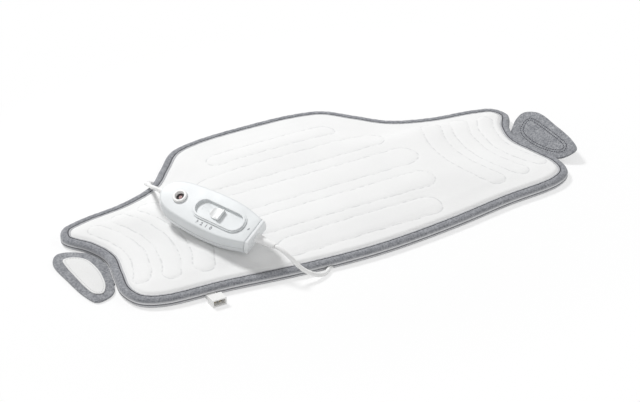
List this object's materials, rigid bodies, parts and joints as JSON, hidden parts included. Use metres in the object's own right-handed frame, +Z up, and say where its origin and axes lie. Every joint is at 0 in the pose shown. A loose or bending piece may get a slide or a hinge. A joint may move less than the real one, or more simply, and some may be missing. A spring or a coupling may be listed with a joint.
{
  "type": "heating pad with controller",
  "caption": "Contoured heating pad with a white quilted top, grey edge binding and closing tabs, and a corded hand controller with a slide switch.",
  "frame": {"origin": "under the middle of the pad with its tabs and socket, at table height", "axes": "+X along the pad's length towards the lifted tab, +Y towards the raised rear edge, +Z up"},
  "size_m": [0.6402, 0.3326, 0.0633],
  "materials": {
    "fleece": "soft matt fleece",
    "knit": "heathered knit",
    "wadding": "matt",
    "hook": "matt hooks",
    "heater": "satin",
    "case": "satin",
    "case_grey": "satin",
    "white_plastic": "satin",
    "dark_lens": "gloss",
    "lamp_red": "gloss",
    "board_green": "satin",
    "black_plastic": "satin",
    "steel": "bright",
    "brass": "bright",
    "lead": "satin"
  },
  "bodies": {
    "pad": {"top_cover": "fleece", "upper_wadding": "wadding", "heating_wire": "heater", "thermal_cutout": "steel", "lower_wadding": "wadding", "bottom_cover": "knit", "edge_binding": "knit", "left_tab_root": "knit", "right_tab_root": "knit", "socket_housing": "white_plastic", "socket_contact_left": "brass", "socket_contact_right": "brass", "controller_top_shell": "case", "controller_bottom_shell": "case", "controller_end_cap": "case_grey", "casing_screw_1": "steel", "casing_screw_2": "steel", "casing_screw_3": "steel", "casing_screw_4": "steel", "mains_lead_bush": "lead", "pad_lead_bush": "lead", "slot_tray": "case", "switch_base": "black_plastic", "contact_comb": "brass", "indicator_bezel": "case", "indicator_lens": "dark_lens", "indicator_lamp": "lamp_red", "lamp_shroud": "black_plastic", "circuit_board": "board_green", "triac": "black_plastic", "capacitor": "lamp_red", "fuse_link": "steel", "mains_lead": "lead", "mains_coil": "lead", "mains_tail": "lead", "coil_tie": "black_plastic", "plug_strain_relief": "lead", "mains_plug_body": "lead", "plug_pin_near": "steel", "plug_pin_far": "steel", "pad_lead": "lead", "coupling_plug": "white_plastic"},
    "slider": {"slider_knob": "case", "slider_carriage": "white_plastic"},
    "left_tab": {"left_tab_flap": "knit", "left_hook_patch": "hook"},
    "right_tab": {"right_tab_flap": "knit", "right_hook_patch": "hook"}
  },
  "joints": [
    {"name": "heat_slide", "type": "slide", "parent": "pad", "child": "slider", "axis": [-0.382, 0.9223, 0.0593], "range_m": [0, 0.0192]},
    {"name": "left_tab_fold", "type": "hinge", "parent": "pad", "child": "left_tab", "pos_m": [-0.2786, -0.0399, 0.0029], "axis": [0, 1, 0], "range_deg": [0, 80]},
    {"name": "right_tab_fold", "type": "hinge", "parent": "pad", "child": "right_tab", "pos_m": [0.2814, -0.0399, 0.0029], "axis": [0, -1, 0], "range_deg": [-17, 55]}
  ]
}
